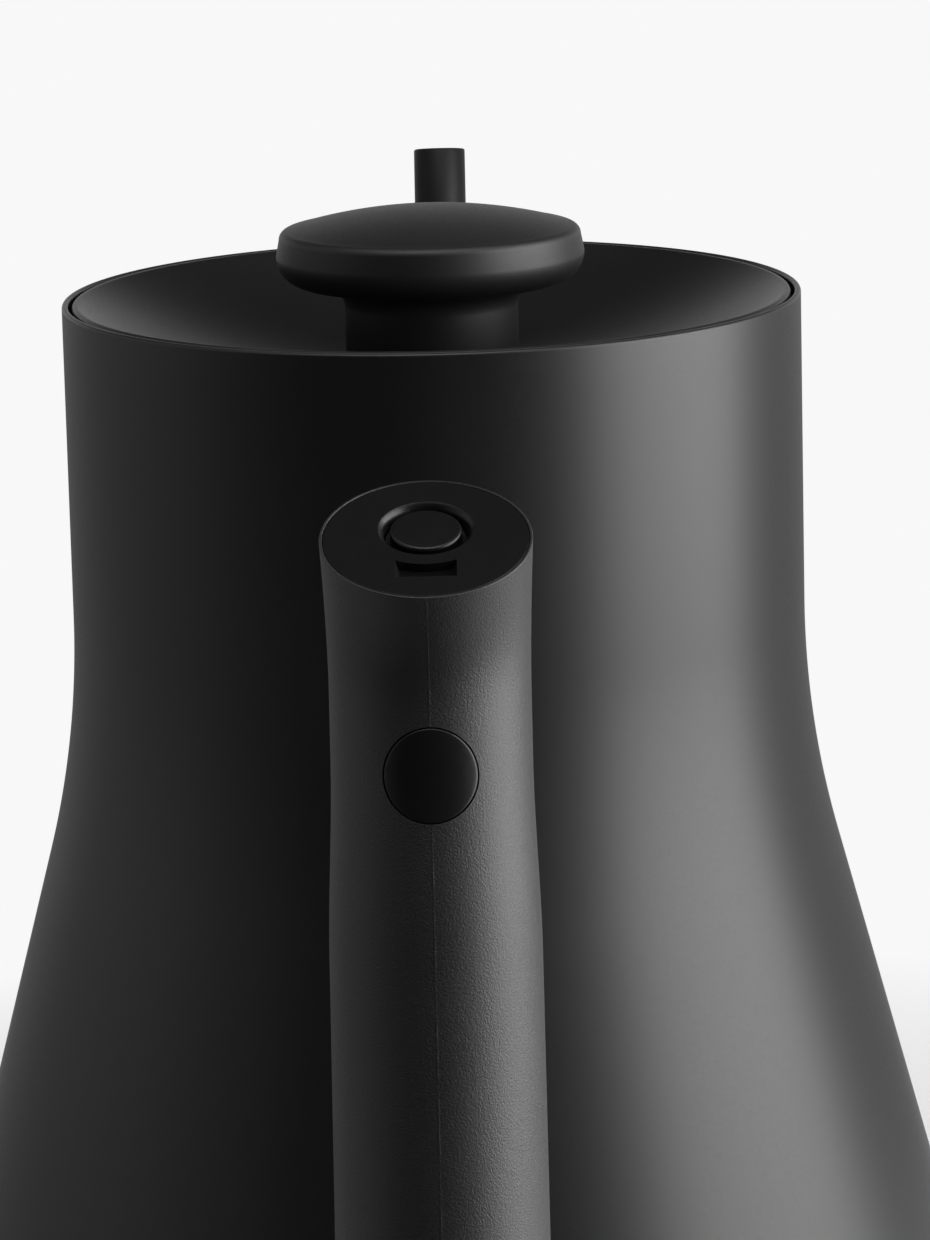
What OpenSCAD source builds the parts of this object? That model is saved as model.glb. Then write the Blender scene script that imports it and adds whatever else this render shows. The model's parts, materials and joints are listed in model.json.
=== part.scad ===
// Gooseneck pouring kettle: a heated steel vessel with a lift-off lid, a swan-neck spout
// and a round handle that is open at the top. Sizes are in millimetres.
// +Z is up, the spout points along +Y and the handle along -Y. The origin is on the
// body's axis, on the surface that the kettle stands on.

/* [Body] */
// Height of the rim above the standing surface
body_h = 156; // [148:1:170]
// Outside diameter of the straight neck
neck_d = 92; // [88:1:98]
// Length of the straight neck
neck_len = 39.5; // [36:0.5:44]
// Radius of the curve that leads from the neck into the cone
flare_r = 117; // [100:1:140]
// Slope of the cone, in degrees from the vertical
flare_deg = 15; // [13.5:0.5:17]
// Radius of the rounded foot
foot_r = 8; // [6:0.5:10]
// Height of the steel foot above the standing surface
foot_lift = 1; // [0.6:0.1:1.6]
// Sheet thickness of the body
wall = 0.8; // [0.6:0.1:1]
// Thickness of the folded rim
hem_t = 1.1; // [1.1:0.1:1.5]
// Depth of the folded rim
hem_h = 6; // [4:0.5:8]
// Inside radius of the collar that is turned up round the open foot
collar_r = 60; // [58:0.5:62]
// Height of that collar
collar_h = 6; // [6:0.5:8]

/* [Spout] */
// Height of the spout's root on the body's wall
spout_root_z = 38; // [34:1:44]
// Outside diameter of the spout at its root
spout_root_d = 20; // [17:0.5:22]
// Outside diameter of the tube in the lower bend
spout_bend_d = 9.4; // [8.8:0.2:10.4]
// Outside diameter of the tube at the tip
spout_tip_d = 7.6; // [7:0.2:8.4]
// Wall of the spout
spout_wall = 0.6; // [0.5:0.1:0.8]
// Length of the tapered root outside the body
spout_root_len = 27; // [24:1:34]
// Rise of the tapered root, in degrees above the horizontal
spout_root_deg = 20; // [15:1:25]
// Radius of the lower bend
spout_bend_r = 50; // [42:1:58]
// Rise of the long neck, in degrees above the horizontal
spout_neck_deg = 71; // [66:1:76]
// Radius of the crook near the tip
spout_crook_r = 45; // [38:1:55]
// Rise of the tube at the tip, in degrees above the horizontal
spout_tip_deg = 56; // [50:1:62]
// Drop of the level-cut tip below the rim
spout_tip_drop = 1; // [-4:0.5:6]

/* [Handle] */
// Height of the arm on the body's wall
arm_z = 32; // [30:1:36]
// Rise of the arm, in degrees above the horizontal
arm_deg = 5; // [2:1:8]
// Length of the straight arm outside the body
arm_len = 27; // [24:1:32]
// Radius of the bend between arm and grip, on its axis
grip_bend_r = 24; // [20:1:28]
// Lean of the grip towards the body, in degrees
grip_lean = 11; // [7:1:14]
// Radius of the bend that turns the grip's top outwards
grip_crook_r = 20; // [18:1:24]
// Outward tilt of the grip's top, in degrees
grip_tilt = 22; // [16:1:26]
// Length of the flared top
grip_top_len = 6.5; // [6:0.5:8]
// Drop of the centre of the grip's top below the rim
grip_drop = 10.2; // [4:0.2:16]
// Diameter of the arm where it meets the body
arm_d = 26; // [24:0.5:28]
// Diameter of the grip in the lower bend
grip_low_d = 23.2; // [22.6:0.2:24.4]
// Diameter of the grip at its waist
grip_waist_d = 22; // [20.8:0.2:22.4]
// Diameter of the grip at its top
grip_top_d = 23; // [22:0.2:24]
// Length of the even waist below the grip's upper bend
grip_waist_len = 8; // [6:0.5:10]
// Length of the swelling below the waist
grip_swell_len = 21; // [14:1:26]
// Thickness of the lip round the end cap
lip_t = 0.3; // [0.2:0.1:1]
// Width of the steel bar inside the handle
bar_w = 9; // [8:0.5:10]
// Thickness of that bar
bar_t = 5.4; // [5:0.2:5.8]
// Height of the bar's foot, which is welded to the body
saddle_h = 16; // [14:0.5:18]
// Spread of that foot round the body, in degrees
saddle_deg = 15; // [12:1:16]
// Thickness of that foot
saddle_t = 1.5; // [1.2:0.1:2]

/* [Handle covers] */
// Thickness of the end cap with its spigot
cap_t = 3.4; // [3:0.2:4]
// Thickness of the end cap's rim
cap_rim_t = 1; // [0.8:0.1:1.2]
// Offset of the end cap's round recess towards the body
recess_shift = 1.5; // [1:0.1:2]
// Diameter of that recess
recess_d = 10.4; // [10:0.2:11]
// Depth of that recess
recess_depth = 1.8; // [1.4:0.1:2]
// Diameter of the button-shaped plug in the recess
cap_plug_d = 7.8; // [7.4:0.2:8.4]
// Width of the sloping notch beside the recess
notch_w = 6.6; // [5:0.2:7]
// Length of that notch
notch_len = 2.7; // [2:0.1:2.8]
// Depth of the notch at its deep end
notch_depth = 1.2; // [0.8:0.1:1.6]
// Land between the recess and the notch
notch_land = 0.8; // [0.6:0.1:1.6]
// Diameter of the plug in the grip's back
rear_plug_d = 10.4; // [9.6:0.2:11]
// Depth of that plug's seat below the grip's back
rear_plug_t = 3; // [2.6:0.2:3.2]
// Distance of that plug below the grip's upper bend
rear_plug_drop = 9.2; // [6.8:0.1:10]

/* [Lid] */
// Gap between the folded rim and the lid
lid_gap = 0.8; // [0.6:0.1:1.2]
// Drop of the lid's edge below the rim
lid_drop = 0; // [-0.4:0.1:1.5]
// Depth of the lid's dish
dish_depth = 12; // [9:0.5:13]
// Sheet thickness of the lid
pan_t = 0.8; // [0.6:0.1:1]
// Radius of the lid's rolled edge
lid_edge_r = 1.4; // [1.2:0.1:1.8]
// Depth of the lid's skirt below its edge
skirt_h = 8.5; // [7.5:0.5:10]
// Gap between the lid's underside and its liner, at the middle
liner_gap = 2; // [1.6:0.2:3]

/* [Knob] */
// Widest diameter of the knob
knob_d = 38.4; // [36:0.4:42]
// Height of the knob's shoulder above the rim
knob_rise = 8.3; // [7:0.1:11]
// Rise of the domed top above that shoulder
dome_h = 2.5; // [2:0.1:4]
// Thickness of the knob's disc at its edge
disc_t = 6.8; // [6:0.2:8]
// Diameter of the knob's stem
stem_d = 21.6; // [20:0.4:24]
// Radius of the rounded lower edge of the disc
disc_round = 3.6; // [3:0.1:4]
// Radius of the fillet between disc and stem
stem_fillet = 3; // [2:0.1:3.4]

/* [Floor and heater] */
// Height of the vessel's floor above the standing surface
floor_z = 26; // [25:0.5:29]
// Thickness of the floor
floor_t = 1.2; // [1:0.1:1.6]
// Radius of the aluminium heat spreader
spreader_r = 56; // [55:0.5:58]
// Thickness of the heat spreader
spreader_t = 3; // [2.6:0.2:3.4]
// Mean radius of the heating element
element_r = 43.5; // [43:0.5:44]
// Width of the heating element
element_w = 7; // [6:0.2:7.4]
// Opening between the element's ends, in degrees
element_gap = 30; // [26:1:40]
// Height of the temperature probe above the floor
probe_h = 12; // [8:1:16]
// Radius of the temperature probe
probe_r = 2.5; // [2.2:0.1:2.8]
// Distance of the probe from the axis
fitting_r = 32; // [31.5:0.5:32.5]

/* [Base] */
// Outside radius of the cordless connector's housing
coupler_r = 23; // [22:0.5:23.5]
// Radius of the socket in the connector
socket_r = 17.5; // [16:0.5:18]
// Depth of that socket
socket_depth = 11; // [10:0.5:12]
// Width of the ring that the kettle stands on
stand_w = 4.4; // [4:0.2:4.8]
// Thickness of the base cover
cover_t = 2; // [1.6:0.2:2.4]
// Distance of the cover's screws from the axis
post_pitch = 51; // [50.5:0.5:51.5]
// Radius of the screw posts
post_r = 3.2; // [2.8:0.1:3.4]

/* [Fits] */
// Clearance all round between pieces that are fitted together
fit = 0.1; // [0.05:0.05:0.2]
// Clearance between the lid's sealing ring and the neck
seal_clear = 0.3; // [0.2:0.05:0.5]

/* [Hidden] */
$fn = 96;
far = 400;
// Cuts reach past the face that they open
over = 1;

coat = "#1b1b1c";
grip_black = "#232324";
steel = "#b9bbbe";
aluminium = "#c9ccd0";
brass = "#b8954a";
silicone = "#2c2c2e";
nylon = "#19191a";

// Points of an arc about c, with radius r, from angle a0 to a1
function arc(c, r, a0, a1, n = 10) =
    [for (i = [0:n]) let (a = a0 + (a1 - a0)*i/n) c + r*[cos(a), sin(a)]];
function reversed(v) = [for (i = [len(v) - 1:-1:0]) v[i]];
function polar(r, a) = [r*cos(a), r*sin(a), 0];

// Body outline: neck, curve, cone and foot, each moved inwards by off
neck_r = neck_d/2;
flare_c = [neck_r + flare_r, body_h - neck_len];
function cone_r(off, z) =
    let (e = flare_c - (flare_r + off)*[cos(flare_deg), sin(flare_deg)])
    e.x + (e.y - z)*tan(flare_deg);
foot_c = [cone_r(foot_r, foot_lift + foot_r), foot_lift + foot_r];
// The foot's curve runs down to its lowest point, or to the collar if that comes first
function foot_end(off) = -acos(max(0, min(1, (collar_r + off - foot_c.x)/(foot_r - off))));
function body_side(off, top) = concat(
    [[neck_r - off, top]],
    arc(flare_c, flare_r + off, 180, 180 + flare_deg, 16),
    arc(foot_c, foot_r - off, flare_deg, foot_end(off), 8),
    collar_r + off < foot_c.x ? [[collar_r + off, foot_lift + off]] : []);

// Cone of the body's wall between foot and flare, moved outwards by grow
cone_low = foot_c.y + foot_r*sin(flare_deg);
cone_high = flare_c.y - flare_r*sin(flare_deg);
module wall_cone(grow = 0) {
    translate([0, 0, cone_low])
        cylinder(r1 = cone_r(-grow, cone_low), r2 = cone_r(-grow, cone_high), h = cone_high - cone_low);
}

// A tube is laid out in the YZ plane. Each point of its route is [y, z, heading], with the
// heading in degrees above +Y. A left bend turns the heading up, a right bend turns it down.
function ahead(p, s) = [p.x + s*cos(p.z), p.y + s*sin(p.z), p.z];
function left_c(p, r) = [p.x - r*sin(p.z), p.y + r*cos(p.z)];
function right_c(p, r) = [p.x + r*sin(p.z), p.y - r*cos(p.z)];
function after_left(p, r, a) = let (c = left_c(p, r)) [c.x + r*sin(a), c.y - r*cos(a), a];
function after_right(p, r, a) = let (c = right_c(p, r)) [c.x - r*sin(a), c.y + r*cos(a), a];

// Places its children on a route point: local Z along the route, local Y on its outer side
module on_route(p) { translate([0, p.x, p.y]) rotate([p.z - 90, 0, 0]) children(); }

// Turns a flat section about the centre of a bend. In a left bend the section's +X is on
// the outer side, in a right bend on the inner side. A gap shortens both ends.
module bend_left(p, r, a, gap = 0) {
    c = left_c(p, r);
    g = asin(gap/r);
    translate([0, c.x, c.y]) rotate([90, 0, 90]) rotate([0, 0, p.z - 90 + g])
        rotate_extrude(angle = a - p.z - 2*g) translate([r, 0]) children();
}
module bend_right(p, r, a, gap = 0) {
    c = right_c(p, r);
    g = asin(gap/r);
    translate([0, c.x, c.y]) rotate([90, 0, 90]) rotate([0, 0, a + 90 + g])
        rotate_extrude(angle = p.z - a - 2*g) translate([r, 0]) children();
}

// Lengths and bends of a tube stop short of their joint and meet in a low bead
seam = 0.6;
bead_h = 0.05;
grip_bead_h = 0.15;
module bead(p, r) { on_route(ahead(p, -2*seam)) cylinder(r = r, h = 4*seam); }

// Side of a turned length: radii from r0 to r1, level at both ends
function eased(r0, r1, t) = r0 + (r1 - r0)*t*t*(3 - 2*t);
function eased_side(r0, r1, len, n = 10) = [for (i = [0:n]) [eased(r0, r1, i/n), len*i/n]];
module turned(side) {
    rotate_extrude() polygon(concat([[0, side[0].y]], side, [[0, side[len(side) - 1].y]]));
}

module screw(head_r, head_h, shank_r, shank_len) {
    translate([0, 0, -head_h]) cylinder(r = head_r, h = head_h);
    cylinder(r = shank_r, h = shank_len);
}

// Body shell: one deep-drawn sheet with a folded rim and a turned-in foot
module body_shell() {
    lip = hem_t/2;
    color(coat) difference() {
        rotate_extrude() polygon(concat(
            body_side(0, body_h - lip),
            [[collar_r, foot_lift + collar_h], [collar_r + wall, foot_lift + collar_h]],
            reversed(body_side(wall, body_h - hem_h)),
            [[neck_r - hem_t, body_h - hem_h]],
            arc([neck_r - lip, body_h - lip], lip, 180, 0, 8)));
        spout_root(spout_wall);
    }
}

// Spout: trumpet-shaped root, lower bend, long neck and a crook, cut level at the tip
spout_inset = 7;
spout_over_deg = 12;
spout_tip_z = body_h - spout_tip_drop;
spout_p0 = [cone_r(0, spout_root_z) - spout_inset*cos(spout_root_deg),
    spout_root_z - spout_inset*sin(spout_root_deg), spout_root_deg];
spout_p1 = ahead(spout_p0, spout_inset + spout_root_len);
spout_p2 = after_left(spout_p1, spout_bend_r, spout_neck_deg);
spout_neck_len = (spout_tip_z - spout_p2.y
    - spout_crook_r*(cos(spout_tip_deg) - cos(spout_neck_deg)))/sin(spout_neck_deg);
spout_p3 = ahead(spout_p2, spout_neck_len);

// The tube's solid, with its outside moved inwards by off
module spout_root(off) {
    on_route(spout_p0) turned(eased_side(spout_root_d/2 - off, spout_bend_d/2 - off,
        spout_inset + spout_root_len - seam, 14));
}
module spout_form(off) {
    bend_tube_r = spout_bend_d/2 - off;
    tip_tube_r = spout_tip_d/2 - off;
    spout_root(off);
    bead(spout_p1, bend_tube_r + bead_h);
    bend_left(spout_p1, spout_bend_r, spout_neck_deg, seam) circle(r = bend_tube_r);
    bead(spout_p2, bend_tube_r + bead_h);
    on_route(ahead(spout_p2, seam))
        cylinder(r1 = bend_tube_r, r2 = tip_tube_r, h = spout_neck_len - 2*seam);
    bead(spout_p3, tip_tube_r + bead_h);
    bend_right(spout_p3, spout_crook_r, spout_tip_deg - spout_over_deg, seam) circle(r = tip_tube_r);
}

module spout() {
    color(coat) difference() {
        spout_form(0);
        spout_form(spout_wall);
        wall_cone();
        translate([-far/2, 0, spout_tip_z]) cube([far, far, far]);
    }
}

// Floor of the vessel, welded in above the heater chamber
probe_deg = 30;
cutout_deg = 150;
grommet_wall = 1.5;
grommet_r = probe_r + grommet_wall;
grommet_flange_w = 2;
grommet_flange_r = grommet_r + grommet_flange_w;
grommet_flange_t = 1.6;
grommet_gap = 1;
module floor_plate() {
    color(steel) difference() {
        translate([0, 0, floor_z]) cylinder(r = cone_r(wall, floor_z + floor_t), h = floor_t);
        translate(polar(fitting_r, probe_deg)) cylinder(r = grommet_r + fit, h = far);
    }
}

// Heat spreader with three cast posts for the base cover
screw_r = 1.4;
screw_pilot = screw_r + fit/2;
web_lift = 1.5;
web_z = foot_lift + web_lift;
cover_top = web_z + cover_t;
spreader_z = floor_z - spreader_t;
post_degs = [90, 210, 330];
lug_reach = 6;
lug_pitch = coupler_r + lug_reach;
cutout_ear = 9;
pilot_depth = 2;
post_pilot_depth = 10;
tip_gap = 0.3;
long_tip_gap = 0.5;
// The posts are relieved where the element or the foot's collar comes close to them
module posts() {
    difference() {
        for (a = post_degs) translate(polar(post_pitch, a))
            translate([0, 0, cover_top]) cylinder(r = post_r, h = floor_z - cover_top);
        rotate_extrude() translate([element_r - element_w/2 - fit, pin_top - fit])
            square([element_w + 2*fit, element_w + fit]);
        rotate_extrude() translate([collar_r - fit, 0]) square([far, foot_lift + collar_h + fit]);
    }
}
module heat_spreader() {
    color(aluminium) difference() {
        union() {
            translate([0, 0, spreader_z]) cylinder(r = spreader_r, h = spreader_t);
            posts();
        }
        translate(polar(fitting_r, probe_deg))
            cylinder(r = grommet_flange_r + grommet_gap, h = far);
        for (a = post_degs) {
            translate(polar(post_pitch, a)) cylinder(r = screw_pilot, h = cover_top + post_pilot_depth);
            translate(polar(lug_pitch, a)) cylinder(r = screw_pilot, h = spreader_z + pilot_depth);
        }
        for (side = [-1, 1]) cutout_place() translate([0, side*cutout_ear, 0])
            cylinder(r = screw_pilot, h = spreader_z + pilot_depth);
    }
}

// Sheathed heating element, flat on top, in an open ring under the spreader
element_a0 = 270 + element_gap/2;
module heating_element() {
    w = element_w/2;
    color(steel) rotate([0, 0, element_a0]) rotate_extrude(angle = 360 - element_gap)
        polygon(concat([[element_r + w, spreader_z], [element_r - w, spreader_z]],
            arc([element_r, spreader_z - w], w, 180, 360, 12)));
}

// The element's two cold pins and the brass straps that lead to the connector
pin_r = 1.6;
pin_len = 5;
pin_inset = 4;
strap_t = 0.8;
strap_w = 5;
pin_top = spreader_z - element_w;
pin_degs = [270 - element_gap/2 - pin_inset, 270 + element_gap/2 + pin_inset];
module element_pins() {
    color(steel) for (a = pin_degs) translate(polar(element_r, a))
        translate([0, 0, pin_top - pin_len]) cylinder(r = pin_r, h = pin_len);
}

module terminal_straps() {
    color(brass) for (a = pin_degs) rotate([0, 0, a])
        translate([coupler_r, -strap_w/2, pin_top - pin_len - strap_t])
            cube([element_r + pin_r - coupler_r, strap_w, strap_t]);
}

// Temperature probe: a closed thimble held in a silicone grommet
probe_below = 4;
module temperature_probe() {
    top = floor_z + probe_h - probe_r;
    color(steel) translate(polar(fitting_r, probe_deg)) rotate_extrude()
        polygon(concat([[0, spreader_z - probe_below], [probe_r, spreader_z - probe_below]],
            arc([0, top], probe_r, 0, 90, 8)));
}

module probe_grommet() {
    low = floor_z - grommet_flange_t;
    high = floor_z + floor_t;
    color(silicone) translate(polar(fitting_r, probe_deg)) rotate_extrude()
        polygon([[probe_r + fit, low], [grommet_flange_r, low], [grommet_flange_r, floor_z],
            [grommet_r, floor_z], [grommet_r, high], [grommet_flange_r, high],
            [grommet_r, high + grommet_flange_t], [probe_r + fit, high + grommet_flange_t]]);
}

// Snap-action safety cut-out against dry boiling, on a two-eared plate
cutout_r = 6;
cutout_h = 4.4;
cutout_gap = 2;
cutout_pitch = element_r - element_w/2 - cutout_gap - cutout_r;
cutout_head_r = 2.3;
cutout_head_h = 1.6;
ear_t = 1;
ear_w = 6;
module cutout_place() { rotate([0, 0, cutout_deg]) translate([cutout_pitch, 0, 0]) children(); }

module safety_cutout() {
    color(nylon) cutout_place() {
        translate([0, 0, spreader_z - ear_t - cutout_h]) cylinder(r = cutout_r, h = cutout_h);
        difference() {
            translate([-ear_w/2, -cutout_ear - ear_w/2, spreader_z - ear_t])
                cube([ear_w, 2*cutout_ear + ear_w, ear_t]);
            for (side = [-1, 1]) translate([0, side*cutout_ear, 0])
                cylinder(r = screw_r + fit, h = far);
        }
    }
}

module cutout_screws() {
    color(steel) for (side = [-1, 1]) cutout_place()
        translate([0, side*cutout_ear, spreader_z - ear_t])
            screw(cutout_head_r, cutout_head_h, screw_r, ear_t + pilot_depth - tip_gap);
}

// Cordless connector: a socket from below, with three legs up to the spreader
coupler_lift = 0.2;
coupler_z = foot_lift + coupler_lift;
socket_top = coupler_z + socket_depth;
roof_t = 2;
lug_root = 2;
lug_r = 4;
leg_r = 3;
boss_r = 5;
boss_len = 7;
contact_r = 2;
contact_reach = 2;
module coupler_housing() {
    color(nylon) difference() {
        union() {
            difference() {
                translate([0, 0, coupler_z]) cylinder(r = coupler_r, h = socket_depth + roof_t);
                translate([0, 0, coupler_z - over]) cylinder(r = socket_r, h = socket_depth + over);
            }
            translate([0, 0, socket_top - boss_len]) cylinder(r = boss_r, h = boss_len);
            for (a = post_degs) rotate([0, 0, a]) {
                translate([coupler_r - lug_root, -lug_r, socket_top])
                    cube([lug_reach + lug_root, 2*lug_r, roof_t]);
                translate([lug_pitch, 0, socket_top]) cylinder(r = lug_r, h = roof_t);
                translate([lug_pitch, 0, socket_top]) cylinder(r = leg_r, h = spreader_z - socket_top);
            }
        }
        translate([0, 0, coupler_z - over]) cylinder(r = contact_r + fit, h = socket_depth + over);
        for (a = post_degs) translate(polar(lug_pitch, a)) cylinder(r = screw_r + fit, h = far);
    }
}

module coupler_pin() {
    color(brass) translate([0, 0, socket_top - boss_len - contact_reach])
        cylinder(r = contact_r, h = boss_len + contact_reach);
}

contact_ring_r = 12;
contact_ring_t = 1.2;
module coupler_ring() {
    color(brass) translate([0, 0, socket_top - boss_len]) difference() {
        cylinder(r = contact_ring_r, h = boss_len);
        translate([0, 0, -over]) cylinder(r = contact_ring_r - contact_ring_t, h = boss_len + 2*over);
    }
}

lug_head_r = 2.6;
lug_head_h = 1.8;
module coupler_screws() {
    color(steel) for (a = post_degs) translate(polar(lug_pitch, a)) translate([0, 0, socket_top])
        screw(lug_head_r, lug_head_h, screw_r, spreader_z - socket_top + pilot_depth - tip_gap);
}

// Base cover: standing ring, web and a collar round the connector
cover_r = collar_r - fit;
seal_r = 0.9;
seal_lift = 2.6;
seal_mid = foot_lift + seal_lift;
coupler_gap = 0.3;
cover_hole_r = coupler_r + coupler_gap;
cover_collar_w = 1.6;
cover_collar_h = 3;
cover_wall_drop = 0.6;
cover_wall_h = collar_h - cover_wall_drop;
base_head_r = 2.6;
base_head_h = 1.6;
module base_cover() {
    groove = cover_r - 2*seal_r + fit;
    color(nylon) difference() {
        rotate_extrude() polygon([
            [cover_hole_r, coupler_z], [cover_hole_r + cover_collar_w, coupler_z],
            [cover_hole_r + cover_collar_w, web_z], [cover_r - stand_w, web_z], [cover_r - stand_w, 0],
            [cover_r - foot_lift, 0], [cover_r, foot_lift], [cover_r, seal_mid - seal_r - fit],
            [groove, seal_mid - seal_r - fit], [groove, seal_mid + seal_r + fit],
            [cover_r, seal_mid + seal_r + fit], [cover_r, foot_lift + cover_wall_h],
            [cover_r - stand_w, foot_lift + cover_wall_h], [cover_r - stand_w, cover_top],
            [cover_hole_r + cover_collar_w, cover_top],
            [cover_hole_r + cover_collar_w, cover_top + cover_collar_h],
            [cover_hole_r, cover_top + cover_collar_h]]);
        for (a = post_degs) translate(polar(post_pitch, a)) {
            cylinder(r = screw_r + fit, h = far);
            translate([0, 0, -far]) cylinder(r = base_head_r + fit, h = far + web_z);
            translate([0, 0, cover_top]) cylinder(r = post_r + fit, h = far);
        }
    }
}

module base_seal() {
    color(silicone) rotate_extrude() translate([collar_r - seal_r, seal_mid]) circle(r = seal_r);
}

module base_screws() {
    color(steel) for (a = post_degs) translate(polar(post_pitch, a))
        translate([0, 0, web_z])
            screw(base_head_r, base_head_h, screw_r, cover_t + post_pilot_depth - long_tip_gap);
}

// Handle route: arm, bend, leaning grip, crook and flared top.
// It is laid along +Y and turned round to -Y.
module handle_side() { rotate([0, 0, 180]) children(); }

arm_inset = 6;
grip_deg = 90 + grip_lean;
top_deg = 90 - grip_tilt;
grip_top_z = body_h - grip_drop;
arm_p = [cone_r(0, arm_z) - arm_inset*cos(arm_deg), arm_z - arm_inset*sin(arm_deg), arm_deg];
bend_p = ahead(arm_p, arm_inset + arm_len);
grip_p = after_left(bend_p, grip_bend_r, grip_deg);
grip_len = (grip_top_z - grip_p.y - grip_crook_r*(cos(top_deg) - cos(grip_deg))
    - grip_top_len*sin(top_deg))/sin(grip_deg);
crook_p = ahead(grip_p, grip_len);
flare_p = after_right(crook_p, grip_crook_r, top_deg);
top_p = ahead(flare_p, grip_top_len);

// Solid of the grip's outside
waist_r = grip_waist_d/2;
low_r = grip_low_d/2;
grip_even_len = grip_len - grip_swell_len - grip_waist_len - 2*seam;
module grip_form() {
    on_route(arm_p) cylinder(r1 = arm_d/2, r2 = low_r, h = arm_inset + arm_len - seam);
    bead(bend_p, low_r + grip_bead_h);
    bend_left(bend_p, grip_bend_r, grip_deg, seam) circle(r = low_r);
    bead(grip_p, low_r + grip_bead_h);
    on_route(ahead(grip_p, seam)) turned(concat([[low_r, 0]],
        [for (q = eased_side(low_r, waist_r, grip_swell_len)) q + [0, grip_even_len]],
        [[waist_r, grip_len - 2*seam]]));
    bead(crook_p, waist_r + grip_bead_h);
    bend_right(crook_p, grip_crook_r, top_deg, seam) circle(r = waist_r);
    bead(flare_p, waist_r + grip_bead_h);
    on_route(ahead(flare_p, seam)) turned(eased_side(waist_r, grip_top_d/2, grip_top_len - seam, 8));
}

// Steel bar inside the handle, with a curved foot on the body's wall
bar_shift = recess_shift;
bar_top_len = 1;
module bar_length(p, len, w, t) { on_route(p) translate([-w/2, -bar_shift - t/2, 0]) cube([w, t, len]); }
module bar_form(extra) {
    w = bar_w + 2*extra;
    t = bar_t + 2*extra;
    bar_length(arm_p, arm_inset + arm_len - seam, w, t);
    bend_left(bend_p, grip_bend_r, grip_deg, seam) translate([-bar_shift, 0]) square([t, w], center = true);
    bar_length(ahead(grip_p, seam), grip_len - 2*seam, w, t);
    bend_right(crook_p, grip_crook_r, top_deg, seam) translate([bar_shift, 0]) square([t, w], center = true);
    for (p = [bend_p, grip_p, crook_p])
        bar_length(ahead(p, -2*seam), 4*seam, w + 2*bead_h, t + 2*bead_h);
    bar_length(ahead(flare_p, -2*seam), 2*seam + bar_top_len, w + 2*bead_h, t + 2*bead_h);
}

// The foot is a piece of the body's cone, later trimmed to the wall. With extra it is the
// pocket that clears it.
saddle_root = 2;
module saddle(extra) {
    low = arm_z - saddle_h/2 - extra;
    high = arm_z + saddle_h/2 + extra;
    spread = saddle_deg + extra;
    rotate([0, 0, -90 - spread/2]) rotate_extrude(angle = spread)
        polygon([[cone_r(saddle_root, low), low], [cone_r(-saddle_t - extra, low), low],
            [cone_r(-saddle_t - extra, high), high], [cone_r(saddle_root, high), high]]);
}

bar_screw_r = 1.5;
bar_tap_depth = 6;
plug_p = ahead(crook_p, -rear_plug_drop);
module rear_axis() { handle_side() on_route(plug_p) rotate([-90, 0, 0]) children(); }
module top_axis() { handle_side() on_route(top_p) translate([0, -recess_shift, 0]) children(); }
bar_end = bar_top_len - grip_top_len;

module handle_bar() {
    color(steel) difference() {
        union() {
            saddle(0);
            handle_side() bar_form(0);
        }
        wall_cone();
        rear_axis() translate([0, 0, -2*bar_t]) cylinder(r = bar_screw_r + fit/2, h = 4*bar_t);
        top_axis() translate([0, 0, bar_end - bar_tap_depth])
            cylinder(r = bar_screw_r + fit/2, h = 2*bar_tap_depth);
    }
}

// Grip: one round moulding on the bar, from the body's wall to the end cap
bar_fit = 0.1;
rear_head_r = 2.8;
rear_head_h = 1.4;
plug_back = eased(waist_r, low_r, max(0, rear_plug_drop - grip_waist_len)/grip_swell_len);
spigot_wall = 1.4;
module cap_form(gap, top) {
    translate([0, 0, -cap_rim_t]) cylinder(r = grip_top_d/2 - lip_t - gap, h = cap_rim_t + top);
    translate([0, 0, -cap_t]) cylinder(r = waist_r - spigot_wall - gap, h = cap_t - cap_rim_t/2);
}
module handle_grip() {
    color(grip_black) difference() {
        handle_side() grip_form();
        wall_cone();
        saddle(bar_fit);
        handle_side() bar_form(bar_fit);
        rear_axis() {
            translate([0, 0, plug_back - rear_plug_t]) cylinder(r = rear_plug_d/2, h = far/4);
            cylinder(r = bar_screw_r + fit, h = far/4);
            translate([0, 0, plug_back - rear_plug_t - rear_head_h])
                cylinder(r = rear_head_r + fit, h = far/4);
        }
        handle_side() on_route(top_p) cap_form(0, far/4);
        top_axis() translate([0, 0, bar_end - over])
            cylinder(r = bar_screw_r + fit, h = far/4);
    }
}

// End cap with a round recess, a ramped notch and a screw down into the bar
cap_set_in = 0.1;
cap_head_r = 2.8;
cap_head_h = 1;
recess_floor = -cap_set_in - recess_depth;
notch_r = recess_d/2 + notch_land;
notch_end = notch_r + notch_len;
// The notch's floor slopes up to the face; its steep end follows the recess
module notch() {
    difference() {
        rotate([90, 0, 90]) linear_extrude(height = notch_w, center = true)
            polygon([[0, -notch_depth*notch_end/notch_len], [0, over],
                [notch_end + over, over], [notch_end, 0]]);
        translate([0, 0, -far/4]) cylinder(r = notch_r, h = far/2);
    }
}
module end_cap() {
    color(nylon) difference() {
        handle_side() on_route(top_p) cap_form(fit, -cap_set_in);
        top_axis() {
            translate([0, 0, recess_floor]) cylinder(r = recess_d/2, h = far/4);
            translate([0, 0, recess_floor - cap_head_h]) cylinder(r = cap_head_r + fit, h = far/4);
            translate([0, 0, -far/4]) cylinder(r = bar_screw_r + fit, h = far/2);
            translate([0, 0, -cap_set_in]) notch();
        }
    }
}

plug_edge = 0.5;
module end_cap_plug() {
    r = cap_plug_d/2;
    color(nylon) top_axis() rotate_extrude()
        polygon(concat([[0, recess_floor], [r, recess_floor]],
            arc([r - plug_edge, -cap_set_in - plug_edge], plug_edge, 0, 90, 6), [[0, -cap_set_in]]));
}

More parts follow.
